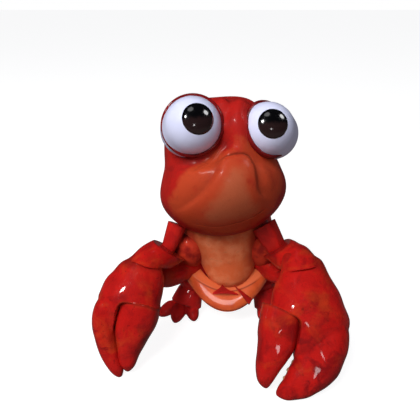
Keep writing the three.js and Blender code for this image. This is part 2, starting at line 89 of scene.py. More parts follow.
# a shape is its points, in mm on the figure's own axes, and its faces
def gridFaces(rows, columns):
    i, j = np.meshgrid(np.arange(rows - 1), np.arange(columns), indexing="ij")
    k = (j + 1) % columns
    a, b = i * columns + j, i * columns + k
    return np.stack([a, b, b + columns, a + columns], -1).reshape(-1, 4).tolist()


def capped(points, rows, columns, first, last):  # a closed skin from a grid and its two end points
    faces = gridFaces(rows, columns)
    count = rows * columns
    for j in range(columns):
        k = (j + 1) % columns
        faces.append([count, k, j])
        faces.append([count + 1, count - columns + j, count - columns + k])
    return outward(np.vstack([points.reshape(-1, 3), first, last]), faces)


def outward(points, faces):
    tris = np.array([f[:3] for f in faces])
    a, b, c = points[tris[:, 0]], points[tris[:, 1]], points[tris[:, 2]]
    if np.einsum("ij,ij->i", a - points.mean(0), np.cross(b - a, c - a)).sum() < 0:
        faces = [f[::-1] for f in faces]
    return points, faces


def limb(ribs, across=(1, 0, 0), ends=(0.15, 0.15), square=2.0, sides=72, rings=72, swell=None):
    ribs = np.asarray(ribs, float)
    t = (1 - np.cos(np.linspace(0, math.pi, rings + 1)[1:-1])) / 2
    turn = np.arange(sides) / sides * 2 * math.pi
    values, slopes = spline(ribs, t)
    along = unit(slopes[:, :3])
    wide = unit(np.asarray(across, float) - along * (along @ np.asarray(across, float))[:, None])
    thick = np.cross(along, wide)
    close = closing(t, ends[0]) * closing(1 - t, ends[1])
    bulge = (abs(np.cos(turn)) ** square + abs(np.sin(turn)) ** square) ** (-1 / square)
    size = values[:, None, 3:5] + (0 if swell is None else swell(t)[:, None, None])
    x = close[:, None] * size[..., 0] * bulge * np.cos(turn)
    y = close[:, None] * size[..., 1] * bulge * np.sin(turn)
    points = values[:, None, :3] + wide[:, None] * x[..., None] + thick[:, None] * y[..., None]
    return capped(points, rings - 1, sides, ribs[0, :3], ribs[-1, :3])


def lathe(profile, axis, centre, sides):  # profile: (radius, height) pairs along the axis
    axis = unit(axis)
    side = unit(np.cross(axis, (0.0, 1.0, 0.0) if abs(axis[1]) < 0.9 else (0.0, 0.0, 1.0)))
    front = np.cross(axis, side)
    rows = np.asarray(profile, float)
    inner = rows[1:-1]
    turn = np.arange(sides) / sides * 2 * math.pi
    ring = side * np.cos(turn)[:, None] + front * np.sin(turn)[:, None]
    points = inner[:, None, :1] * ring + inner[:, None, 1:2] * axis + centre
    ends = [centre + axis * rows[k, 1] for k in (0, -1)]
    return capped(points, len(inner), sides, *ends)


def together(*shapes):
    points, faces, start = [], [], 0
    for p, f in shapes:
        points.append(p)
        faces.extend([[i + start for i in face] for face in f])
        start += len(p)
    return np.vstack(points), faces


def meshOf(name, shape):
    mesh = bpy.data.meshes.new(name)
    mesh.from_pydata(((shape[0] + figureShift) * mm).tolist(), [], shape[1])
    mesh.update()
    return mesh


def pointsOf(mesh):
    flat = np.empty(len(mesh.vertices) * 3, np.float32)
    mesh.vertices.foreach_get("co", flat)
    return flat.reshape(-1, 3).astype(float) / mm - figureShift


def normalsOf(mesh):
    flat = np.empty(len(mesh.vertices) * 3, np.float32)
    mesh.vertex_normals.foreach_get("vector", flat)
    return flat.reshape(-1, 3).astype(float)


def movePoints(mesh, points):
    mesh.vertices.foreach_set("co", ((points + figureShift) * mm).astype(np.float32).ravel())
    mesh.update()


def paint(mesh, **masks):  # a number from 0 to 1 for every point, which the materials read by name
    for name, values in masks.items():
        layer = mesh.attributes.new(name, "FLOAT", "POINT")
        layer.data.foreach_set("value", np.clip(values, 0, 1).astype(np.float32))


def worked(mesh, *modifiers):  # the mesh after Blender's own modifiers
    holder = bpy.data.objects.new("holder", mesh)
    bpy.context.scene.collection.objects.link(holder)
    for kind, settings in modifiers:
        modifier = holder.modifiers.new(kind, kind)
        for key, value in settings.items():
            setattr(modifier, key, value)
    done = bpy.data.meshes.new_from_object(holder.evaluated_get(bpy.context.evaluated_depsgraph_get()))
    bpy.data.objects.remove(holder)
    return done


def fused(name, shape, voxel=0.4, smooth=5):  # overlapping shapes become one skin
    remesh = {"mode": "VOXEL", "voxel_size": voxel * mm, "adaptivity": 0.0}
    soften = {"factor": 0.5, "iterations": smooth}
    return worked(meshOf(name, shape), ("REMESH", remesh), ("SMOOTH", soften))


def onTable(points):
    points[:, 2] = np.maximum(points[:, 2], 0.0)
    return points


def piece(name, mesh, material, slotName, *nodes):
    mesh.name = name
    made = bpy.data.objects.new(name, mesh)
    bpy.context.scene.collection.objects.link(made)
    mesh.materials.clear()
    mesh.materials.append(material)
    mesh.polygons.foreach_set("use_smooth", [True] * len(mesh.polygons))
    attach(made, "root")
    if nodes:
        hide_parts(*nodes)
    return made


class Wire:  # a node's socket that can be used in a sum
    def __init__(self, shader, socket):
        self.shader = shader
        self.socket = socket

    def maths(self, operation, *inputs):
        return self.shader.node("ShaderNodeMath", {"operation": operation}, dict(enumerate(inputs)))

    def __add__(self, other):
        return self.maths("ADD", self, other)

    def __sub__(self, other):
        return self.maths("SUBTRACT", self, other)

    def __rsub__(self, other):
        return self.maths("SUBTRACT", other, self)

    def __mul__(self, other):
        return self.maths("MULTIPLY", self, other)

    __radd__ = __add__
    __rmul__ = __mul__


class Shader:  # the nodes of a material or of the world
    def __init__(self, owner):
        self.owner = owner
        owner.use_nodes = True
        self.tree = owner.node_tree
        self.tree.nodes.clear()
        self.place = self.node("ShaderNodeTexCoord", output="Object")

    def node(self, kind, settings=None, inputs=None, output=0):
        made = self.tree.nodes.new(kind)
        for key, value in (settings or {}).items():
            if key == "stops":
                ramp = made.color_ramp
                while len(ramp.elements) < len(value):
                    ramp.elements.new(1.0)
                for element, (position, colour) in zip(ramp.elements, value):
                    element.position = position
                    element.color = (*colour, 1.0) if hasattr(colour, "__len__") else (colour,) * 3 + (1.0,)
            else:
                setattr(made, key, value)
        for key, value in (inputs or {}).items():
            if isinstance(value, Wire):
                self.tree.links.new(value.socket, made.inputs[key])
            else:
                made.inputs[key].default_value = value
        return Wire(self, made.outputs[output]) if made.outputs else None

    def noise(self, size, detail=3.0, roughness=0.55, distortion=0.0):  # size of a blot, mm
        inputs = {"Vector": self.place, "Scale": 1 / (size * mm), "Detail": detail,
                  "Roughness": roughness, "Distortion": distortion}
        return self.node("ShaderNodeTexNoise", None, inputs)

    def between(self, value, low, high):  # 0 to 1 as the value goes from low to high
        inputs = {"Value": value, "From Min": low, "From Max": high}
        return self.node("ShaderNodeMapRange", {"interpolation_type": "SMOOTHSTEP"}, inputs)

    def mask(self, name):
        return self.node("ShaderNodeAttribute", {"attribute_name": name}, output="Fac")

    def mix(self, share, first, second):
        colour = lambda c: c if isinstance(c, Wire) else (*c, 1.0)
        inputs = {0: share, 6: colour(first), 7: colour(second)}
        return self.node("ShaderNodeMix", {"data_type": "RGBA"}, inputs, output=2)

    def bump(self, height, distance, strength=1.0, under=None):  # distance in mm
        inputs = {"Height": height, "Distance": distance * mm, "Strength": strength}
        if under is not None:
            inputs["Normal"] = under
        return self.node("ShaderNodeBump", None, inputs)

    def finish(self, **inputs):
        names = {key.replace("_", " "): value for key, value in inputs.items()}
        surface = self.node("ShaderNodeBsdfPrincipled", None, names)
        self.node("ShaderNodeOutputMaterial", None, {"Surface": surface})
        return self.owner


def newFinish(name):
    return Shader(bpy.data.materials.new(name))


shellPaint = {
    "red": (0.47, 0.009, 0.007),
    "deep": (0.21, 0.005, 0.006),
    "orange": (0.52, 0.050, 0.010),
    "speckAndShade": (0.060, 0.004, 0.005),
    "bone": (0.50, 0.30, 0.17),
}


def glossyShell(name, orange=0.5, specks=0.9, deep=0.7):
    s = newFinish(name)
    blots = s.between(s.noise(11.0, 5, 0.62, 0.5), 0.46, 0.66)
    colour = s.mix(blots * deep, shellPaint["red"], shellPaint["deep"])
    warm = s.between(s.noise(13.0, 4, 0.6, 0.8), 0.50, 0.72) * orange
    tint = s.between(s.mask("warm") + (s.noise(4.0, 3) - 0.5) * 0.5, 0.25, 0.9) * 0.85
    colour = s.mix(warm.maths("MAXIMUM", warm, tint), colour, shellPaint["orange"])
    dots = s.between(s.noise(1.5, 2, 0.5), 0.62, 0.72) * s.between(s.noise(8.0, 2), 0.46, 0.58)
    stains = s.between(s.noise(4.2, 5, 0.7, 0.4), 0.56, 0.72) * s.between(s.noise(15.0, 2), 0.44, 0.58)
    patches = s.between(s.noise(6.5, 5, 0.68, 0.6), 0.44, 0.64) * s.mask("stain")
    colour = s.mix(patches * 0.95, colour, shellPaint["deep"])
    marks = dots * 0.5 + stains * (0.35 + s.mask("stain") * 0.4)
    colour = s.mix(marks * specks, colour, shellPaint["speckAndShade"])
    # painted shade: creases, grooves and the parts under rims and beside other pieces are darkened towards
    # the speck colour
    colour = s.mix(s.mask("fold") * 0.8, colour, shellPaint["speckAndShade"])
    colour = s.mix(s.mask("tooth"), colour, shellPaint["bone"])
    rough = 0.42 + s.noise(2.4, 3) * 0.14 + dots * 0.1
    dents = s.bump(s.noise(5.0, 3, 0.55), 0.5)
    skin = s.bump(s.noise(1.2, 2, 0.5), 0.05, 1.0, dents)
    return s.finish(Base_Color=colour, Roughness=rough, Normal=skin, Specular_IOR_Level=0.04,
                    Coat_Weight=0.8, Coat_Roughness=0.07)


def plainShell(name, colour, dark, rough=0.4, coat=0.7):
    s = newFinish(name)
    shade = s.mix(s.between(s.noise(6.0, 3), 0.4, 0.65), colour, dark)
    # painted shade: the mask read here darkens creases, grooves and the ends of pieces
    shade = s.mix(s.mask("fold") * 0.6, shade, shellPaint["speckAndShade"])
    skin = s.bump(s.noise(2.0, 3), 0.12)
    return s.finish(Base_Color=shade, Roughness=rough + s.noise(3.0, 2) * 0.1, Normal=skin,
                    Specular_IOR_Level=0.04, Coat_Weight=coat, Coat_Roughness=0.07)


facePaint = {
    "red": (0.40, 0.011, 0.008),
    "deep": (0.17, 0.008, 0.007),
    "orange": (0.46, 0.050, 0.016),
    "tan": (0.46, 0.094, 0.038),
    "brown": (0.11, 0.018, 0.008),
}


def faceSkin(name):
    s = newFinish(name)
    blots = s.between(s.noise(8.0, 4, 0.6, 0.3), 0.45, 0.7)
    colour = s.mix(blots * 0.5, facePaint["red"], facePaint["deep"])
    drift = (s.noise(9.0, 5, 0.62) - 0.5) * 1.9
    colour = s.mix(s.between(s.mask("warm") + drift, 0.25, 0.95), colour, facePaint["orange"])
    colour = s.mix(s.between(s.mask("pale") + drift * 0.6, 0.25, 0.95), colour, facePaint["tan"])
    grain = s.between(s.noise(2.2, 4, 0.65), 0.55, 0.75) * 0.2
    colour = s.mix(grain, colour, facePaint["brown"])
    # painted shade: the face's valleys, mouth slit and collar groove are darkened towards brown
    colour = s.mix(s.mask("fold") * 0.8, colour, facePaint["brown"])
    rough = 0.45 + s.noise(1.8, 3) * 0.16
    dents = s.bump(s.noise(4.5, 3, 0.5), 0.15)
    skin = s.bump(s.noise(0.9, 2, 0.5), 0.07, 1.0, dents)
    return s.finish(Base_Color=colour, Roughness=rough, Normal=skin, Specular_IOR_Level=0.1,
                    Coat_Weight=0.13, Coat_Roughness=0.14)


chestPaint = {
    "orange": (0.64, 0.112, 0.034),
    "pale": (0.76, 0.205, 0.085),
    "red": (0.34, 0.022, 0.010),
    "brown": (0.15, 0.018, 0.008),
}


def chestSkin(name):
    s = newFinish(name)
    colour = s.mix(s.between(s.noise(8.0, 4, 0.6), 0.4, 0.68), chestPaint["orange"], chestPaint["pale"])
    colour = s.mix(s.mask("warm"), colour, chestPaint["red"])
    grain = s.between(s.noise(2.0, 4, 0.65), 0.52, 0.75) * 0.25
    colour = s.mix(grain, colour, chestPaint["brown"])
    # painted shade: the line along the bib's edge is darkened towards brown
    colour = s.mix(s.mask("fold") * 0.75, colour, chestPaint["brown"])
    rough = 0.42 + s.noise(2.0, 3) * 0.16
    skin = s.bump(s.noise(0.8, 2), 0.05, 1.0, s.bump(s.noise(4.0, 3), 0.2))
    return s.finish(Base_Color=colour, Roughness=rough, Normal=skin, Specular_IOR_Level=0.15,
                    Coat_Weight=0.12, Coat_Roughness=0.2)


bellyPaint = {
    "orange": (0.74, 0.115, 0.030), "red": (0.52, 0.045, 0.015), "ledge": (0.66, 0.125, 0.040),
    "line": (0.10, 0.014, 0.007),
}


def bellyShell(name):
    s = newFinish(name)
    colour = s.mix(s.between(s.noise(7.0, 3), 0.4, 0.7) * 0.6, bellyPaint["orange"], bellyPaint["red"])
    colour = s.mix(s.mask("ledge"), colour, bellyPaint["ledge"])
    # painted shade: the crease at the ledge and the rim groove are darkened
    colour = s.mix(s.mask("fold") * 0.85, colour, bellyPaint["line"])
    skin = s.bump(s.noise(3.5, 2), 0.08)
    rough = 0.2 + s.noise(3.0, 2) * 0.08 + s.mask("ledge") * 0.3
    return s.finish(Base_Color=colour, Roughness=rough, Normal=skin, Specular_IOR_Level=0.2,
                    Coat_Weight=0.9 - s.mask("ledge") * 0.8, Coat_Roughness=0.04)


def eyeGloss(name):
    s = newFinish(name)
    tint = s.mix(s.between(s.noise(5.0, 2), 0.35, 0.7) * 0.35, (0.72, 0.74, 0.96), (0.64, 0.65, 0.84))
    skin = s.bump(s.noise(6.0, 2), 0.03)
    return s.finish(Base_Color=tint, Roughness=0.3 + s.noise(4.0, 2) * 0.08, Normal=skin,
                    Coat_Weight=0.3, Coat_Roughness=0.15)


def pupilGloss(name):
    s = newFinish(name)
    # painted reflection: the lower half of the pupil is painted a lighter brown for the pale floor
    # reflected in it, and the top stays near black; the flecks are random
    lower = s.between(s.mask("lower") + (s.noise(1.6, 3) - 0.5) * 0.3, 0.35, 0.65)
    flecks = s.between(s.noise(0.8, 3, 0.6), 0.55, 0.75) * 0.4
    brown = s.mix(flecks, (0.020, 0.009, 0.009), (0.036, 0.014, 0.013))
    colour = s.mix(lower, (0.0015, 0.0015, 0.002), brown)
    return s.finish(Base_Color=colour, Roughness=0.12 + s.noise(2.0, 2) * 0.04, Coat_Weight=1.0,
                    Coat_Roughness=0.02)


redShell = glossyShell("redShell", deep=0.75)
backShell = glossyShell("backShell", orange=0.2, specks=0.7, deep=0.65)
armShell = glossyShell("armShell", orange=0.35, specks=0.35, deep=0.5)
legShell = plainShell("legShell", (0.62, 0.016, 0.014), (0.42, 0.010, 0.010))
deepShell = plainShell("deepShell", (0.30, 0.009, 0.009), (0.17, 0.006, 0.007))
lidShell = plainShell("lidShell", (0.20, 0.006, 0.007), (0.12, 0.004, 0.005))
collarShell = plainShell("collarShell", (0.52, 0.014, 0.010), (0.40, 0.010, 0.009))
flankShell = plainShell("flankShell", (0.50, 0.034, 0.014), (0.24, 0.011, 0.008), 0.5, 0.2)
face = faceSkin("faceSkin")
chestMaterial = chestSkin("chestSkin")
bellyMaterial = bellyShell("bellyShell")
eyeMaterial = eyeGloss("eyeGloss")
pupilMaterial = pupilGloss("pupilGloss")
print("finishes made")


view = {"from": (-9.0, -198.9, 159.5), "at": (-9.0, 0.0, 66.7), "focal": 459.4, "pixels": 420}
camera = bpy.data.objects.new("camera", bpy.data.cameras.new("camera"))
bpy.context.scene.collection.objects.link(camera)
camera.data.sensor_width = 36.0
camera.data.lens = view["focal"] / view["pixels"] * 36.0
camera.location = Vector((np.array(view["from"]) + figureShift) * mm)
aim = Vector((np.array(view["at"]) + figureShift) * mm) - camera.location
camera.rotation_euler = aim.to_track_quat("-Z", "Y").to_euler()
camera.data.clip_start = 0.01
camera.data.clip_end = 100.0
bpy.context.scene.camera = camera

stage = {"floor": 12.0, "below": 0.0001, "glow": 0.9, "shade": 0.3}


def makeFloor():
    half = stage["floor"] / 2
    mesh = bpy.data.meshes.new("floor")
    corners = [(-half, -half), (half, -half), (half, half), (-half, half)]
    mesh.from_pydata([(x, y, -stage["below"]) for x, y in corners], [], [[0, 1, 2, 3]])
    floor = bpy.data.objects.new("floor", mesh)
    bpy.context.scene.collection.objects.link(floor)
    s = newFinish("paleFloor")
    mesh.materials.append(s.finish(Base_Color=(*(stage["shade"],) * 3, 1.0), Roughness=1.0,
                                   Emission_Color=(1.0, 1.0, 1.0, 1.0), Emission_Strength=stage["glow"]))
    floor.visible_diffuse = False
    floor.visible_glossy = False


makeFloor()

# the sky is white where the camera sees it, soft and warmer from the floor as fill, and nearly
# black in reflections, so that the gloss stays deep
sky = {"fillAbove": (0.13, 0.135, 0.16), "fillBelow": (0.15, 0.14, 0.14),
       "glossAbove": (0.012, 0.012, 0.014), "glossBelow": (0.10, 0.085, 0.08), "edge": 0.10}


def makeSky():
    world = bpy.data.worlds.new("studio")
    bpy.context.scene.world = world
    s = Shader(world)
    way = s.node("ShaderNodeTexCoord", output="Generated")
    height = s.node("ShaderNodeSeparateXYZ", None, {0: way}, output="Z")
    edges = {"Value": height, "From Min": -sky["edge"], "From Max": sky["edge"]}
    above = s.node("ShaderNodeMapRange", None, edges)
    tints = [s.mix(above, sky[kind + "Below"], sky[kind + "Above"]) for kind in ("fill", "gloss")]
    fill, gloss = (s.node("ShaderNodeBackground", None, {"Color": tint}) for tint in tints)
    white = s.node("ShaderNodeBackground", None, {"Color": (1.0, 1.0, 1.0, 1.0)})
    glossy = s.node("ShaderNodeLightPath", output="Is Glossy Ray")
    seen = s.node("ShaderNodeLightPath", output="Is Camera Ray")
    lit = s.node("ShaderNodeMixShader", None, {0: glossy, 1: fill, 2: gloss})
    shown = s.node("ShaderNodeMixShader", None, {0: seen, 1: lit, 2: white})
    s.node("ShaderNodeOutputWorld", None, {"Surface": shown})


makeSky()

# soft lamps shade the figure, and small ones only put the bright spots on its gloss;
# azimuth 0 is straight in front of the figure and negative is on the left of the picture
lamps = {
    "softKey": {"azimuth": -40, "height": 50, "far": 0.9, "size": 0.5, "power": 9.0, "gloss": False},
    "softFront": {"azimuth": 10, "height": 25, "far": 1.1, "size": 0.6, "power": 1.3, "gloss": False},
    "spotKey": {"azimuth": -37, "height": 46, "far": 0.9, "size": 0.13, "power": 2.4, "gloss": True},
    "spotSide": {"azimuth": 84, "height": 47, "far": 0.9, "size": 0.24, "power": 1.0, "gloss": True},
    "spotFront": {"azimuth": 8, "height": 19, "far": 0.9, "size": 0.09, "power": 0.16, "gloss": True},
    "spotTop": {"azimuth": -30, "height": 77, "far": 0.9, "size": 0.3, "power": 0.3, "gloss": True},
    "window": {"azimuth": -8, "height": 11, "far": 0.6, "size": (0.34, 0.26), "power": 1.3, "gloss": True},
    "spotFeet": {"azimuth": -22, "height": 38, "far": 0.6, "size": 0.12, "power": 0.9, "gloss": True},
}


def shineOnly(lampName, *pieces):  # the lamp lights these pieces and nothing else
    lit = bpy.data.collections.new(lampName + "Shines")
    for one in pieces:
        lit.objects.link(one)
    bpy.data.objects[lampName].light_linking.receiver_collection = lit


def makeLamps():
    for name, lamp in lamps.items():
        data = bpy.data.lights.new(name, "AREA")
        wide = isinstance(lamp["size"], tuple)
        data.shape = "RECTANGLE" if wide else "DISK" if lamp["gloss"] else "SQUARE"
        data.size = lamp["size"][0] if wide else lamp["size"]
        if wide:
            data.size_y = lamp["size"][1]
        data.energy = lamp["power"]
        made = bpy.data.objects.new(name, data)
        bpy.context.scene.collection.objects.link(made)
        a, h = math.radians(lamp["azimuth"]), math.radians(lamp["height"])
        way = Vector((math.sin(a) * math.cos(h), -math.cos(a) * math.cos(h), math.sin(h)))
        made.location = way * lamp["far"] + Vector((0.0, 0.0, 0.06))
        made.rotation_euler = (-way).to_track_quat("-Z", "Y").to_euler()
        made.visible_glossy = lamp["gloss"]
        made.visible_diffuse = not lamp["gloss"]


makeLamps()
bpy.context.scene.view_settings.view_transform = "Standard"
print("camera, floor and lamps set")


head = {
    "centre": (-3.2, 10.6, 75.9), "turn": 7.0, "tilt": 33.0, "roll": 3.0,
    "halfWidth": 30.6, "front": 29.5, "back": 27.0, "crown": 41.6, "chin": 25.5,
    "narrowing": 0.1, "narrowingOver": (-0.35, 0.5), "crownSquare": (0.3, 0.9, 1.5),
    "faceSide": (0.1, 0.45),
    "brow": {"up": 0.7, "ahead": 0.71, "broad": 1.1, "tall": 0.4, "by": -6.0},
    "jowl": {"side": 0.86, "ahead": 0.3, "up": -0.25, "size": 0.5, "by": 1.2},
    "muzzle": {"ahead": 0.97, "up": -0.05, "broad": 0.5, "size": 0.55, "by": 2.6},
    "sides": 440, "rings": 300, "finer": 0.4,
}
# lines over the face as (degrees to the side, degrees up), seen from the middle of the head
faceLines = {
    "frown": [(-75, -24), (-61.5, -23.5), (-46, -21.5), (-35, -18), (-23.5, -11.6), (-17, -4.7),
              (-12.5, 1.5), (-9.6, 8), (-6, 11.4), (1, 12.5), (10, 13.4), (16, 12.2), (20, 9), (22.3, 3.5),
              (23, -3),
              (23.6, -9), (25, -16), (29, -19.6), (36, -22.6), (47, -25)],
    "snoutEdge": [(-27, 3), (-20.9, 9.4), (-13.8, 16.7), (-7, 22.5), (-0.6, 27.8), (4, 36)],
    "rightEdge": [(30, 24), (31.1, 18.3), (30.6, 7.4), (31.5, -2.8), (36, -12)],
    "collar": [(-54, -42.6), (-43, -49.9), (-20.7, -55.2), (12, -51.4), (33, -43), (42, -34.3)],
}
faceForms = {  # in mm; a width is how far the form spreads to either side of its line
    "leftValley": (1.0, 4.4, 2.2), "rightValley": (0.7, 3.6, 2.0), "mouthDip": (0.3, 1.6),
    "slit": (0.4, 0.42), "lobe": (0.7, 2.4), "lips": (0.4, 2.4, 2.2), "snoutEdge": (0.4, 1.4),
    "snoutDip": (0.7, 3.6, 3.4),
    "rightEdge": (0.3, 3.0), "collar": (0.3, 0.45),
}
# the head's colours change along these angles
faceZones = {"redAbove": (6, 36), "leftEdge": (-48, 1.15, 9), "rightEdge": (50, 66), "tanFrom": (1.0, 11.0)}
eyes = {
    "left": {"centre": (-16.7, -1.1, 108.0), "radius": 12.7, "gaze": (0.25, -0.84, 0.48),
             "lid": (-0.05, -0.92, 0.39), "rear": (-0.39, 0.75, -0.56), "seat": (-30, 55), "lap": (-3, 16),
             "free": (222, 34)},
    "right": {"centre": (17.1, 3.8, 105.0), "radius": 12.2, "gaze": (0.08, -0.88, 0.47),
              "lid": (0.55, -0.69, 0.47), "rear": (0.46, 0.74, -0.57), "seat": (200, 75), "lap": (160, 36),
              "free": (312, 34)},
}
eyeball = {"long": 5.6, "rearSize": 0.98}


def headAxes():
    turn, tilt, roll = (math.radians(head[k]) for k in ("turn", "tilt", "roll"))
    ahead = np.array([math.sin(turn) * math.cos(tilt), -math.cos(turn) * math.cos(tilt), math.sin(tilt)])
    level = np.array([math.cos(turn), math.sin(turn), 0.0])
    side = level * math.cos(roll) + np.cross(ahead, level) * math.sin(roll)
    return side, ahead, np.cross(ahead, side)


def headSurface(side, ahead, up):  # distance from the centre, and the masks that go with it
    depth = np.where(ahead > 0, head["front"], head["back"])
    wide = head["halfWidth"] * (1 - head["narrowing"] * ease(up, *head["narrowingOver"]))
    height = np.where(up > 0, head["crown"], head["chin"])
    low, high, by = head["crownSquare"]
    square = 2 + by * ease(up, low, high)
    egg = (abs(side / wide) ** square + abs(ahead / depth) ** square
           + abs(up / height) ** square) ** (-1 / square)
    b, j, m = (head[k] for k in ("brow", "jowl", "muzzle"))
    brow = b["by"] * bell(side, b["broad"]) * bell(np.hypot(ahead - b["ahead"], up - b["up"]), b["tall"])
    jowls = j["by"] * bell(np.sqrt((abs(side) - j["side"]) ** 2 + (ahead - j["ahead"]) ** 2
                                   + (up - j["up"]) ** 2), j["size"])
    nose = m["by"] * bell(np.sqrt((side / m["broad"] / 2) ** 2 + (ahead - m["ahead"]) ** 2
                                  + (up - m["up"]) ** 2), m["size"])
    front = ease(ahead, *head["faceSide"])
    return egg + brow + jowls + nose, front


def faceDetail(side, ahead, up):  # the face's own folds: how far they move the skin, and masks
    ways = np.stack([side, ahead, up], -1)
    away, share, above = {}, {}, {}
    for name, line in faceLines.items():
        turn, rise = np.radians(np.array(line, float)).T
        path = np.stack([np.cos(rise) * np.sin(turn), np.cos(rise) * np.cos(turn), np.sin(rise)], -1)
        far, share[name], foot, run = nearest(ways, path)
        away[name] = far * head["front"]
        above[name] = np.einsum("ij,ij->i", np.cross(run, foot), ways - foot) > 0
    f = faceForms
    d, t = away["frown"], share["frown"]
    leftSide, rightSide = ease(-t, -0.47, -0.38), ease(t, 0.62, 0.68)
    middle = 1 - leftSide - rightSide
    ends = ease(t, 0.0, 0.2) * ease(-t, -1.0, -0.88)
    within = ~above["frown"]
    sunk = middle * f["mouthDip"][0] * bell(d, f["mouthDip"][1])
    for part, name in ((leftSide, "leftValley"), (rightSide, "rightValley")):
        deep, outside, inside = f[name]
        sunk += part * deep * bell(d, np.where(within, inside, outside))
    slit = middle * bell(d, f["slit"][1])
    rise = np.degrees(np.arcsin(np.clip(up, -1, 1)))
    lobe = within * f["lobe"][0] * ease(d, 0, f["lobe"][1]) * ease(rise, -62, -20)
    high, off, width = f["lips"]
    lips = middle * high * bell(d - off, width) * ~within
    edge = f["snoutEdge"][0] * bell(away["snoutEdge"], f["snoutEdge"][1])
    deep, off, width = f["snoutDip"]
    dip = deep * bell(away["snoutEdge"] - off, width) * above["snoutEdge"]
    dip *= ease(-share["snoutEdge"], -1, -0.6) * ease(share["snoutEdge"], 0.0, 0.3)
    right = f["rightEdge"][0] * bell(away["rightEdge"], f["rightEdge"][1])
    collar = bell(away["collar"], f["collar"][1]) * ease(0.5 - abs(share["collar"] - 0.5), 0, 0.1)
    move = ends * (lips + lobe - sunk - f["slit"][0] * slit) + edge - dip + right - f["collar"][0] * collar

    sideways = np.degrees(np.arctan2(side, np.maximum(ahead, 0.02)))
    z = faceZones
    low, high = z["redAbove"]
    at, lean, soft = z["leftEdge"]
    warm = ease(-rise, -high, -low) * ease(sideways - at - lean * rise, -soft, soft)
    warm *= ease(-sideways, -z["rightEdge"][1], -z["rightEdge"][0])
    pale = within * ease(d, *z["tanFrom"]) * ease(rise, -60, -35) * ease(-abs(sideways), -48, -25)
    # painted shade for the valleys, the mouth slit and the collar groove
    fold = ends * (0.32 * leftSide + 0.22 * rightSide) * bell(d, 2.2) + 0.9 * slit * ends + 0.4 * collar
    return move, warm, pale, fold


# round each eye the skin sits just behind the lid, laps onto the ball at the inner corner and
# falls away under the outer one; "seat", "lap" and "free" are (middle, half width) in degrees
socket = {"behind": 0.9, "proud": 1.4, "deep": 6.0, "from": 0.5, "to": 8.0, "deepest": -15.0, "blur": 14}
lid = {"tube": 0.9, "thick": 1.45, "out": 0.45, "thinner": 0.25}  # the lid is thinner along the top


def blurred(values, passes):  # a field over the head's grid; the poles follow the rings beside them
    grid = values[:-2].reshape(head["rings"] - 1, head["sides"])
    for _ in range(passes):
        grid = (np.roll(grid, 1, 1) + 2 * grid + np.roll(grid, -1, 1)) / 4
        tall = np.vstack([grid[:1], grid, grid[-1:]])
        grid = (tall[:-2] + 2 * tall[1:-1] + tall[2:]) / 4
    return np.append(grid.ravel(), [grid[0].mean(), grid[-1].mean()])


def socketed(centre, radii, towards):
    bare = radii.copy()
    for eye in eyes.values():
        c, n, ball = np.array(eye["centre"]), unit(eye["lid"]), eye["radius"]
        right = unit(np.cross((0, 0, 1), n))
        top = np.cross(n, right)
        for _ in range(5):
            q = centre + towards * radii[:, None] - c
            h, x, y = q @ n, q @ right, q @ top
            across, angle = np.hypot(x, y), np.degrees(np.arctan2(y, x))
            apart = lambda middle: abs((angle - middle + 180) % 360 - 180)
            seat = ease(-apart(eye["seat"][0]), -eye["seat"][1] - 30, -eye["seat"][1] + 10)
            lap, free = (bell(apart(middle), width) for middle, width in (eye["lap"], eye["free"]))
            goal = -socket["behind"] + lap * (socket["behind"] + socket["proud"]) - free * socket["deep"]
            near = 1 - ease(across, ball + socket["from"], ball + socket["to"])
            near = near * ease(h, socket["deepest"], socket["deepest"] + 4) * (towards @ n > 0.1)
            lift = np.where(h > goal, 1.0, np.maximum(seat, lap)) * (goal - h)
            radii = radii + near * lift / np.maximum(towards @ n, 0.35) * 0.6
    return bare + blurred(radii - bare, socket["blur"])


def makeHead():
    side, ahead, up = headAxes()
    tilt = np.linspace(0, math.pi, head["rings"] + 1)[1:-1]
    turn = np.arange(head["sides"]) / head["sides"] * 2 * math.pi
    turn = turn - head["finer"] * np.sin(turn)
    s = (np.sin(tilt)[:, None] * np.sin(turn)).ravel()
    a = (np.sin(tilt)[:, None] * np.cos(turn)).ravel()
    u = (np.cos(tilt)[:, None] * np.ones_like(turn)).ravel()
    s, a, u = np.append(s, [0, 0]), np.append(a, [0, 0]), np.append(u, [1, -1])
    radii, front = headSurface(s, a, u)
    facing = front > 0
    masks = np.zeros((4, len(s)))
    masks[:, facing] = faceDetail(s[facing], a[facing], u[facing])
    move, warm, pale, fold = masks * front
    towards = s[:, None] * side + a[:, None] * ahead + u[:, None] * up
    centre = np.array(head["centre"])
    radii = socketed(centre, radii, towards) + move
    warm, pale = blurred(warm, 60), blurred(pale, 40)
    points = centre + towards * radii[:, None]
    shape = capped(points[:-2], head["rings"] - 1, head["sides"], points[-2], points[-1])
    mesh = meshOf("head", shape)
    paint(mesh, warm=warm, pale=pale, fold=fold)
    return piece("headSkin", mesh, face, "head", "head")


headPieces = [makeHead()]
print("head made")

pupil = {"halfAngle": 32.0, "proud": 0.35, "depth": 1.8, "bevel": 3.0, "edgeOut": 0.3, "backWide": 0.98,
         "rimDrop": 0.1, "round": 0.9, "shade": 0.9, "steps": 40}


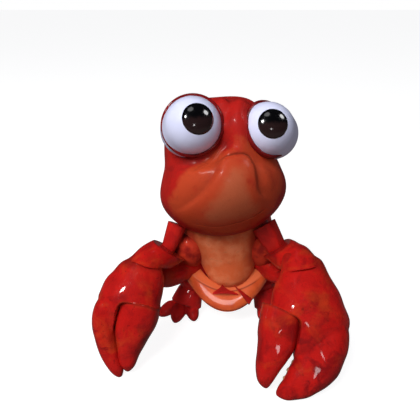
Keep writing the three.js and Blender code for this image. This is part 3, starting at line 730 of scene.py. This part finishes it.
def makeEye(which):
    eye = eyes[which]
    centre, radius = np.array(eye["centre"]), eye["radius"]
    angles = np.linspace(0, math.pi / 2, 49)
    behind = eyeball["rearSize"] * radius
    profile = [(radius * math.sin(a), -radius * math.cos(a)) for a in angles]
    profile += [(behind * math.cos(a), eyeball["long"] + behind * math.sin(a)) for a in angles]
    ball = meshOf("eyeball", lathe(profile, eye["rear"], centre, 128))
    white = piece(f"{which}EyeWhite", ball, eyeMaterial, "eye_white", f"eyeball_{which}")
    # the pupil is a separate dome with a rounded edge, set into the ball
    edge, bevel = math.radians(pupil["halfAngle"]), math.radians(pupil["bevel"])
    outer, rim = radius + pupil["proud"], edge + bevel * pupil["edgeOut"]
    wide, back = radius * math.sin(rim), radius * math.cos(edge) - pupil["depth"]
    profile = [(0.0, back), (wide * pupil["backWide"], back)]
    profile.append((wide, radius * math.cos(rim) - pupil["rimDrop"]))
    for a in np.linspace(edge, 0, pupil["steps"]):
        at = outer - pupil["proud"] * bell(edge - a, bevel) * pupil["round"]
        profile.append((at * math.sin(a), at * math.cos(a)))
    lens = meshOf("pupil", lathe(profile, eye["gaze"], centre, 96))
    height = (pointsOf(lens) - centre) @ unit(np.cross(np.cross(eye["gaze"], (0, 0, 1)), eye["gaze"]))
    # the mask rises towards the bottom of the pupil, where the floor's reflection is painted
    paint(lens, lower=0.5 - height / (outer * math.sin(edge)) * pupil["shade"])
    dark = piece(f"{which}PupilLens", lens, pupilMaterial, "pupil", f"pupil_{which}")
    # the lid is a rolled ring that grips the ball
    n = unit(eye["lid"])
    right = unit(np.cross((0, 0, 1), n))
    top = np.cross(n, right)
    around, tube = np.linspace(0, 2 * math.pi, 193)[:-1], np.linspace(0, 2 * math.pi, 25)[:-1]
    way = right * np.cos(around)[:, None] + top * np.sin(around)[:, None]
    long = lid["thick"] * (1 - lid["thinner"] * np.sin(around))
    points = centre + way[:, None] * (radius + lid["out"] + lid["tube"] * np.cos(tube))[:, None]
    points = points + n * (long[:, None] * np.sin(tube))[..., None]
    count = len(tube)
    faces = gridFaces(len(around), count)
    last = (len(around) - 1) * count
    faces += [[last + j, last + (j + 1) % count, (j + 1) % count, j] for j in range(count)]
    ring = outward(points.reshape(-1, 3), faces)
    rolled = piece(f"{which}LidRoll", meshOf("eyelid", ring), lidShell, "eyelid", f"eyelid_{which}")
    return white, dark, rolled


for which in eyes:
    headPieces += makeEye(which)
print("eyes made")


body = {
    "torso": [[0, 17.5, 15, 16, 13.5], [0, 18, 24, 18, 15], [0, 18.5, 33, 20, 15.5],
              [-0.3, 18.5, 43, 22.5, 15.6], [-1, 18, 52, 22.5, 15.6], [-2, 18, 62, 16, 13]],
    "chest": [[2.4, 8, 19.5, 7, 8.2], [1.6, 7.8, 26.5, 12, 9.6], [0.4, 8.6, 36, 15.2, 9.2],
              [-1.6, 9.4, 45, 18.4, 9.4], [-2.6, 10.4, 52, 20.4, 9], [-3.6, 11.2, 59, 20.4, 8.4]],
    "bib": {"from": (9.0, 12.0), "soft": 4.0, "sunk": 0.4},
    "flank": [[16.8, 11.5, 29.5, 5.6, 6], [18.8, 9.0, 39.5, 8.6, 7.8], [20.4, 9.6, 50, 8.4, 7.6]],
    "carapace": [[-2, 27, 66, 15, 10], [-2, 25, 57, 22.5, 14], [-1, 23.5, 46, 25.6, 16],
                 [0, 23.5, 34, 23.6, 15.5], [0, 25, 22, 18, 12.5]],
    "groove": {"depth": 0.9, "width": 1.3},
}


def makeBody():
    torso = meshOf("torso", limb(body["torso"], ends=(0.08, 0.3), square=2.2, sides=96, rings=72))
    piece("innerTrunk", torso, deepShell, "torso", "torso")

    chest = meshOf("chest", limb(body["chest"], ends=(0.2, 0.1), sides=144, rings=120))
    points, normals = pointsOf(chest), normalsOf(chest)
    # the pale bib narrows downwards and stands a little proud of the redder skin beside it
    bib = body["bib"]
    rise = ease(points[:, 2], 30, 56)
    half = bib["from"][0] + (bib["from"][1] - bib["from"][0]) * rise
    off = abs(points[:, 0] + 0.4 + 2.4 * rise)
    beside = ease(off, half, half + bib["soft"]) * ease(points[:, 2], 30, 40)
    line = bell(off - half, 1.6) * ease(points[:, 2], 30, 40)
    movePoints(chest, points - normals * (beside * bib["sunk"])[:, None])
    # the line along the bib's edge is painted shade
    paint(chest, fold=0.22 * line, warm=beside * 0.85)
    piece("chestBib", chest, chestMaterial, "chest", "chest")

    for which, s in (("left", -1), ("right", 1)):
        ribs = [[s * x, *rest] for x, *rest in body["flank"]]
        flank = meshOf("flank", limb(ribs, ends=(0.45, 0.45), sides=72, rings=60))
        points = pointsOf(flank)
        # painted shade: each flank darkens towards its ends, where it meets the pieces above and below
        paint(flank, fold=0.6 * ease(abs(points[:, 2] - 40), 6, 12))  # darker towards both ends
        piece(f"{which}Flank", flank, flankShell, "flank", f"flank_{which}")

    back = meshOf("carapace", limb(body["carapace"], ends=(0.3, 0.12), sides=160, rings=140))
    points, normals = pointsOf(back), normalsOf(back)
    line = bell(points[:, 0] + 1, 1.1) * ease(points[:, 1], 28, 34)
    neck = 52 - 0.018 * points[:, 0] ** 2
    cross = bell(points[:, 2] - neck, body["groove"]["width"]) * ease(points[:, 1], 18, 26)
    sunk = np.maximum(line, cross)
    movePoints(back, points - normals * (sunk * body["groove"]["depth"])[:, None])
    # the grooves are darkened with painted shade
    paint(back, fold=0.5 * sunk)
    piece("backShield", back, backShell, "shell", "carapace")


makeBody()

bowl = {  # two profiles as (radius, height), blended from straight in front to the sides
    "centre": (0.0, 15.5), "behind": 0.9, "point": 2.0,
    "front": [(0, 5), (8, 5.6), (14.5, 7.4), (20, 10.4), (21.8, 12.4), (20.6, 16.9), (17.5, 21.3),
              (16.6, 21.9), (14.8, 22.6), (14.2, 20), (0, 19)],
    "side": [(0, 5), (6, 7), (11, 11), (17.6, 18.4), (23.4, 25.2), (24.6, 28.2), (24.3, 30.2), (22.8, 31.2),
             (16.6, 31.2), (14.6, 22), (0, 19)],
    "back": [(0, 5), (9, 5.7), (15, 8), (20, 14), (21.6, 18.4), (21.8, 21.6), (21.4, 23.4), (20.4, 24.4),
             (15.4, 25.2), (14.6, 20), (0, 19)],
    "sides": 200, "fine": 14, "ledgeFrom": 0.6, "rim": (0.385, 0.012), "rimDeep": 0.3,
}


def makeBowl():
    fine = (len(bowl["front"]) - 1) * bowl["fine"]
    share = np.linspace(0, 1, fine + 1)[1:-1]
    front, side, rear = (spline(bowl[k], share)[0] for k in ("front", "side", "back"))
    turn = np.arange(bowl["sides"]) / bowl["sides"] * 2 * math.pi
    facing = np.maximum(np.cos(turn), 0)[None, :, None] ** bowl["point"]
    behind = np.maximum(-np.cos(turn), 0)[None, :, None] ** 0.6
    rows = side[:, None] + (front - side)[:, None] * facing + (rear - side)[:, None] * behind
    x0, y0 = bowl["centre"]
    deep = np.where(np.cos(turn) > 0, 1, bowl["behind"])
    x = x0 + rows[..., 0] * np.sin(turn)
    y = y0 - rows[..., 0] * np.cos(turn) * deep
    points = np.stack([x, y, rows[..., 1]], -1)
    ends = [(x0, y0, bowl["front"][k][1]) for k in (0, -1)]
    mesh = meshOf("hip_bowl", capped(points, len(share), len(turn), *ends))
    points, normals = pointsOf(mesh), normalsOf(mesh)
    at = np.append(np.repeat(share, len(turn)), [0, 1])
    ledge = ease(at, bowl["ledgeFrom"], bowl["ledgeFrom"] + 0.03)
    level = np.append(np.tile(facing.ravel(), len(share)), [0, 0])
    crease = bell(at - bowl["ledgeFrom"], 0.012) * ease(level, 0.35, 0.6)
    groove = bell(at - bowl["rim"][0], bowl["rim"][1])
    movePoints(mesh, points - normals * (bowl["rimDeep"] * groove)[:, None])
    # the ledge crease and the rim groove are darkened with painted shade; the ledge mask is the ledge's own
    # matte colour
    paint(mesh, fold=np.maximum(crease * 0.8, groove * 0.5), ledge=ledge)
    return piece("hipBowl", mesh, bellyMaterial, "belly", "hip_bowl")


bowlPiece = makeBowl()

spikes = {
    "left": {"base": ((-10.2, -1.9, 19.2), (6.3, -3.0, 19.9)), "tip": (-2.9, -4.2, 27.6), "thick": 1.3,
             "hollow": 2.4, "flare": 1.7},
    "right": {"base": ((11.0, -3.9, 14.4), (12.6, -3.5, 17.8)), "tip": (2.8, -5.0, 27.5), "thick": 1.2,
              "hollow": 0.2, "flare": 1.0},
}


def makeSpike(which):
    spec = spikes[which]
    (a, b), tip = np.array(spec["base"]), np.array(spec["tip"])
    rows, columns = 30, 40
    up = np.linspace(0, 1, rows)[:-1]
    turn = np.arange(columns) / columns * 2 * math.pi
    mid, half = (a + b) / 2, (b - a) / 2
    out = unit(np.cross(half, tip - mid))
    lift = unit(tip - mid)
    flare = (1 - up) ** spec["flare"]
    ring = half * np.cos(turn)[:, None] + out * (np.sin(turn) * spec["thick"])[:, None]
    points = mid + (tip - mid) * up[:, None, None] + ring * flare[:, None, None]
    arch = spec["hollow"] * (1 - np.cos(turn) ** 2)
    points = points + lift * (arch * flare[:, None] ** 3)[..., None]
    shape = capped(points, rows - 1, columns, mid + lift * spec["hollow"] * 0.6, tip)
    piece(f"{which}Spike", meshOf("spike", shape), collarShell, "spike", f"spike_{which}")


for which in spikes:
    makeSpike(which)
print("body made")


arms = {
    "left": {
        "collar": [[-25.2, 7.0, 55.8, 5, 4.8], [-28.6, 3.6, 47.5, 4, 4], [-31, 1.8, 41.5, 3.2, 3.2]],
        "collarSquare": 2.2, "collarAcross": (1, 0, 0),
        "upper": [[-15, 15, 33, 6, 6.5], [-22, 8, 29.5, 6.5, 6.2], [-30, 1, 29.5, 6.4, 6.2],
                  [-36, -4, 32, 5, 5]],
        "cap": [[-21.5, 5.5, 47.5, 8, 7.4], [-27.5, 0.8, 44.8, 8, 7.8], [-33.2, -4.6, 44.4, 8.5, 8],
                [-38.2, -9.8, 43.8, 7.8, 8.2], [-41, -14.6, 40.6, 8.6, 8.4]],
        "mouth": ((-26.2, -1, 43.1), (0.58, 0.32, 0.75)),
        "cuff": ((-40.1, -12.3, 44.2), (-0.23, -0.41, -0.88)),
        "wrist": (-40, -13, 44), "tip": (-49.5, -38, 1.2), "medial": 1,
        "palm": [[1, -6, 6, 4.4], [0.6, -1.5, 8.0, 5.6], [-0.2, 3, 11, 7.2], [-1.6, 9, 13, 8.9],
                 [-3, 15, 14.6, 10.0], [-3.6, 21, 15, 10.2], [-5.2, 29, 13, 8.8], [-7.4, 36, 8.6, 6]],
        "hinge": (-7.2, 17.6), "fall": 1.2, "lean": 0.0,
        "finger": [[-7, 12, 7, 7], [-12.4, 22, 6.2, 7.6], [-12.8, 29.6, 5.6, 6.8], [-11.2, 35, 5.3, 6.1],
                   [-8.8, 40, 4.8, 5.4], [-5.2, 45.8, 3.9, 4.6], [-0.4, 52.6, 2.2, 2.5]],
        "dactyl": [[1.9, 17.6, 9.9, 9.6], [1.6, 23, 9.8, 9.2], [1.0, 29.6, 8.9, 8.2], [0.9, 35.2, 7.2, 7.2],
                   [1, 40.6, 5.2, 5.8], [1.6, 45.4, 3.6, 4.2], [2.2, 49.4, 2, 2.2]],
        "teeth": [(-7.6, 33.0, 0.9), (-6.7, 36.4, 0.9), (-5.4, 39.6, 1.0), (-3.9, 42.8, 1.1),
                  (-2.4, 46.0, 1.0)],
    },
    "right": {
        "collar": [[17.8, 6.5, 55.6, 5.6, 5.2], [22, 3.2, 49, 4.8, 4.4], [26, 1.0, 42.5, 3.8, 3.6]],
        "collarSquare": 4.5, "collarAcross": (1, -0.6, 0),
        "upper": [[15, 15, 34, 6, 6.5], [21, 8, 31, 6, 6], [27, 1, 30, 6, 6], [32, -4, 34, 5, 5]],
        "cap": [[18.5, 5.5, 48.5, 7, 7], [24.2, 0.2, 45.4, 7.2, 7.6], [28.8, -5.8, 44.8, 8, 8.4],
                [33, -13, 44.6, 8.2, 8.8], [34, -19, 40.6, 9.2, 9.2]],
        "mouth": ((23.1, -1, 45.6), (-0.6, 0.3, 0.74)), "cuff": ((32.9, -16, 44.6), (0.19, -0.415, -0.888)),
        "wrist": (34, -15, 46), "tip": (22.1, -50.5, 2.2), "medial": -1,
        "palm": [[1.6, -6, 6.5, 4], [1.0, -1.5, 9.0, 5.6], [-1.2, 4.6, 11.4, 7.4], [-3.2, 12, 14.8, 9.8],
                 [-5.2, 19, 17, 11.4], [-7.2, 27, 18.8, 11.2], [-8.8, 36, 15, 9.6], [-10.6, 44, 9.8, 7.6]],
        "hinge": (-2.4, 25.2), "fall": 0.0, "lean": 0.22,
        "finger": [[-8, 15, 10, 9], [-14.8, 28, 10.5, 9], [-14.6, 37, 10.5, 8.4], [-12.6, 43.8, 9.8, 7.6],
                   [-8.6, 50, 7.8, 6.6], [-3.8, 55, 5.2, 5], [2.2, 59, 2.3, 2.4]],
        "dactyl": [[6, 25.4, 8.8, 9.6], [5.8, 30, 9.2, 9.4], [5.7, 36.6, 8.6, 8.4], [6.7, 42.4, 7.2, 7.6],
                   [7.6, 47.8, 5.7, 6.4], [7.8, 52.6, 4.3, 4.8], [6.8, 57.4, 2.3, 2.4]],
        "teeth": [(-4.9, 36.0, 1.0), (-4.1, 40.0, 1.0), (-2.9, 44.0, 1.1), (-1.4, 47.8, 1.1),
                  (0.0, 51.4, 1.1)],
    },
}
capShape = {"lumps": 0.22, "flare": 0.35}
# "tuck" is how far a thumb slips under the palm, and "reach" the width over which the hinge leans
clawSculpt = {"lumps": 0.2, "corner": 3.4, "tuck": 0.5, "blend": 0.35, "square": 2.5, "soft": 9,
              "reach": 18}


def clawAxes(arm):
    along = unit(np.array(arm["tip"], float) - arm["wrist"])
    across = unit(np.array([arm["medial"], 0, 0]) - arm["medial"] * along[0] * along)
    return np.array([across, along, np.cross(across, along)])


def inClaw(ribs, **options):
    return limb([[m, a, 0, w, h] for m, a, w, h in ribs], **options)


def hingeEdge(arm, m):  # where the palm ends and the thumb begins, over the claw's width
    m0, a0 = arm["hinge"]
    r = clawSculpt["corner"]
    inside = np.clip(r - (m - m0), 0, r)
    level = a0 - arm["lean"] * np.maximum(m - m0 - r / 2, 0)
    return level + r - np.sqrt(r * r - inside**2) + arm["fall"] * ease(m, m0 + 12, m0 + 19)


def pressed(points, plane, along):  # what lies beyond a plane is pressed flat onto it
    through, normal = np.array(plane[0], float), unit(plane[1])
    past = np.maximum((points - through) @ normal, 0)
    return points - past[:, None] * along / (along @ normal)


def lumps(points, size, seed):  # soft unevenness, from a few crossing waves
    ways = np.random.default_rng(seed)
    total = np.zeros(len(points))
    for _ in range(7):
        direction = unit(ways.normal(size=3)) * 2 * math.pi / (size * ways.uniform(0.7, 1.6))
        total += np.sin(points @ direction + ways.uniform(0, 6.28))
    return total / 3.5


def makeArm(which):
    arm = arms[which]
    axes = clawAxes(arm)
    wrist = np.array(arm["wrist"], float)
    place = lambda shape: outward(shape[0] @ axes + wrist, shape[1])

    collar = limb(arm["collar"], across=arm["collarAcross"], ends=(0.02, 0.02), square=arm["collarSquare"])
    piece(f"{which}Collar", meshOf("collar", collar), collarShell, "shoulder", f"shoulder_{which}")

    upper = meshOf("upper_arm", limb(arm["upper"], across=(0, 0, 1), ends=(0.2, 0.2)))
    points, normals = pointsOf(upper), normalsOf(upper)
    movePoints(upper, points + normals * (lumps(points, 9, 3) * 0.3)[:, None])
    piece(f"{which}UpperArm", upper, armShell, "arm", f"upper_arm_{which}")

    rim = lambda t: capShape["flare"] * ease(t, 0.7, 0.95)
    points, capFaces = limb(arm["cap"], across=(0.2, 0, 1), ends=(0.04, 0.04), sides=120, rings=160,
                            swell=rim)
    ribs = np.array(arm["cap"])[:, :3]
    points = pressed(points, arm["mouth"], unit(ribs[0] - ribs[1]))
    points = pressed(points, arm["cuff"], unit(ribs[-1] - ribs[-2]))
    cap = meshOf("elbow", (points, capFaces))
    near = [abs((points - arm[k][0]) @ unit(arm[k][1])) for k in ("mouth", "cuff")]
    points, normals = pointsOf(cap), normalsOf(cap)
    inside = ease(np.minimum(*near), 0.0, 2.5)
    movePoints(cap, points + normals * (lumps(points, 9, 5) * capShape["lumps"] * inside)[:, None])
    # painted shade darkens the cap's opening next to the upper arm
    paint(cap, fold=0.5 * bell(near[0], 0.5), warm=0.5 * bell(near[1] - 1.2, 1.4),
          stain=np.full(len(points), 0.3))
    piece(f"{which}ElbowCap", cap, redShell, "shell", f"elbow_{which}")

    m0, a0 = arm["hinge"]
    palm, palmFaces = inClaw(arm["palm"], ends=(0.1, clawSculpt["blend"]), sides=120, rings=120)
    edge = hingeEdge(arm, palm[:, 0])
    beyond = (palm[:, 0] > m0) & (palm[:, 1] > edge)
    palm[beyond, 1] = edge[beyond]
    finger = inClaw(arm["finger"], ends=(0.2, 0.1), square=clawSculpt["square"], sides=96, rings=110)
    bumps = [limb([[m - 1.6, a, 0, r, 1.5 * r], [m + 0.6, a, 0, r * 0.8, r]], across=(0, 1, 0),
                  ends=(0.5, 0.5), sides=20, rings=14) for m, a, r in arm["teeth"]]
    whole = together((palm, palmFaces), finger, *bumps)
    claw = fused("claw", place(whole), smooth=clawSculpt["soft"])
    points, normals = pointsOf(claw), normalsOf(claw)
    local = (points - wrist) @ axes.T
    points = points + normals * (lumps(points, 11, 7) * clawSculpt["lumps"])[:, None]
    movePoints(claw, onTable(points))
    tooth = [bell(np.linalg.norm(local - (m, a, 0), axis=1), r * 1.5) for m, a, r in arm["teeth"]]
    tooth = ease(np.max(tooth, 0), 0.5, 0.8)
    near = abs(local[:, 1] - hingeEdge(arm, local[:, 0])) + 2 * np.maximum(m0 - local[:, 0], 0)
    shaded = ease(-local[:, 1], -3.5, 0.5)
    low = ease(local[:, 1], a0 + 2, a0 + 22) * ease(-local[:, 0], 2, 10)
    # painted shade: a line along the hinge, and the claw's end under the elbow cap's rim
    paint(claw, warm=0.6 * bell(near, 1.5) + 0.35 * ease(-local[:, 1], -12, -3), tooth=tooth,
          fold=0.35 * bell(near, 0.4) + 0.5 * shaded, stain=0.3 + 0.7 * low)
    piece(f"{which}Claw", claw, redShell, "shell", f"claw_{which}")

    (m, a, w, h), *rest = arm["dactyl"]
    root = clawSculpt["tuck"] + 1 + arm["lean"] * clawSculpt["reach"]  # it is tucked under the palm's edge
    bare, thumbFaces = inClaw([(m, a - root, w, h), *rest], ends=(0.02, 0.14), square=clawSculpt["square"],
                              sides=120, rings=140)
    edge = hingeEdge(arm, bare[:, 0])
    bare[:, 1] = np.maximum(bare[:, 1], edge - clawSculpt["tuck"])
    thumb = meshOf("claw_thumb", place((bare, thumbFaces)))
    points, normals = pointsOf(thumb), normalsOf(thumb)
    local = (points - wrist) @ axes.T
    points = points + normals * (lumps(points, 10, 9) * clawSculpt["lumps"])[:, None]
    movePoints(thumb, onTable(points))
    past = local[:, 1] - hingeEdge(arm, local[:, 0])
    # painted shade where the thumb slips under the palm's edge
    paint(thumb, warm=0.5 * ease(-past, -4, 0), fold=0.5 * ease(-past, -0.7, 0),
          stain=np.full(len(points), 0.2))
    piece(f"{which}ClawThumb", thumb, redShell, "shell", f"claw_thumb_{which}")


for which in arms:
    makeArm(which)
    print("arm made:", which)


legs = {
    "thigh": [[13, 16, 24, 6, 7], [18.4, 13.5, 17.5, 7.4, 7.4], [21, 11, 12.5, 6.6, 6.8]],
    "shin": [[18.6, 13, 14, 6.6, 6], [20.6, 10.5, 10, 7.6, 6.2], [22.4, 8, 5.2, 8.8, 6]],
    "foot": [[23.6, 12, 4, 6.4, 5], [25.2, 6, 3.6, 8.4, 4.6]],
    "toes": [
        [[20, 9, 4, 4, 4], [18.4, 4, 3.2, 3.5, 3.6], [17.3, -1, 1.6, 1.9, 2.1]],
        [[25, 8, 4, 4.4, 4.4], [26.6, 3, 3.2, 3.8, 3.8], [27.9, -2.4, 1.6, 2, 2.1]],
        [[28, 10, 4, 4, 4], [32.4, 7, 3.2, 3.6, 3.6], [36.8, 3.4, 1.6, 2, 2.1]],
    ],
    "wider": 1.6,
}


def makeLeg(which, s):
    placed = lambda ribs: [[s * x + (legs["wider"] if s > 0 else 0), *rest] for x, *rest in ribs]
    thigh = meshOf("thigh", limb(placed(legs["thigh"]), ends=(0.4, 0.4), sides=64, rings=56))
    piece(f"{which}Thigh", thigh, legShell, "leg", f"thigh_{which}")
    parts = [limb(placed(legs["shin"]), ends=(0.2, 0.12)), limb(placed(legs["foot"]), ends=(0.45, 0.45))]
    parts += [limb(placed(toe), ends=(0.3, 0.3), sides=40, rings=40) for toe in legs["toes"]]
    foot = fused("foot", together(*parts), 0.35, 6)
    points = onTable(pointsOf(foot))
    movePoints(foot, points)
    return piece(f"{which}Foot", foot, legShell, "leg", f"foot_{which}")


feet = [makeLeg(which, s) for which, s in (("left", -1), ("right", 1))]
print("legs made")


tail = {
    "segments": [(34.8, 21.5, 16, 8.6, 6.2), (39.4, 15.8, 14.6, 7.6, 6.0), (43.8, 10.6, 13, 6.4, 5.8),
                 (48.4, 6.8, 11.2, 5.2, 5.4)],
    "turns": (44, 50, 42, 26),
    "taper": (0.86, 0.96),
    "rim": 0.4,
}
fan = {
    "middle": [[0, 50, 4.6, 3.4, 1.8], [0, 55.4, 3, 5, 1.7], [0, 60, 1.9, 3.8, 1.3]],
    "left": [[-3, 49, 4.8, 3, 1.8], [-8, 53.6, 3, 4.6, 1.7], [-11.6, 57, 1.9, 3.4, 1.3]],
    "right": [[3, 49, 4.8, 3, 1.8], [8, 53.6, 3, 4.6, 1.7], [11.6, 57, 1.9, 3.4, 1.3]],
}


def makeTail():
    for n, (y, z, w, h, reach) in enumerate(tail["segments"]):
        down = math.radians(tail["turns"][n])
        dy, dz = math.cos(down) * reach, -math.sin(down) * reach
        first, second = tail["taper"]
        ribs = [[0, y - dy, z - dz, w * first, h * first], [0, y, z, w * second, h * second],
                [0, y + dy, z + dz, w, h]]
        rim = lambda t: tail["rim"] * bell(t - 0.9, 0.07) - 0.3 * bell(t - 0.72, 0.05)
        segment = meshOf("tail", limb(ribs, ends=(0.2, 0.12), sides=120, rings=90, swell=rim))
        points = onTable(pointsOf(segment))
        movePoints(segment, points)
        along = ((points[:, 1] - y) * dy + (points[:, 2] - z) * dz) / reach**2
        # painted shade in each ring's groove; the warm band near the rim is the shell's own orange
        paint(segment, fold=0.5 * bell(along - 0.45, 0.12), warm=0.6 * bell(along - 0.85, 0.2))
        piece(f"tailRing{n + 1}", segment, backShell, "shell", f"tail_{n + 1}")
    for which, ribs in fan.items():
        blade = meshOf("tail_fan", limb(ribs, ends=(0.2, 0.35), sides=80, rings=60))
        points, normals = pointsOf(blade), normalsOf(blade)
        middle, *_ = nearest(points * (1, 1, 0), [[x, y, 0] for x, y, *_ in ribs], 40)
        ribsUp = 0.35 * bell(middle, 0.7) - 0.2 * bell(middle - 1.4, 0.5)
        movePoints(blade, onTable(points + normals * ribsUp[:, None]))
        # painted shade in the groove beside each blade's rib
        paint(blade, warm=0.6 * ease(points[:, 1], 56, 61), fold=0.4 * bell(middle - 1.4, 0.5))
        piece(f"{which}FanBlade", blade, backShell, "shell", f"tail_fan_{which}")


makeTail()
print("tail made")

shineOnly("window", bowlPiece)
shineOnly("spotSide", *headPieces)
shineOnly("spotTop", *headPieces)
shineOnly("spotFeet", *feet)
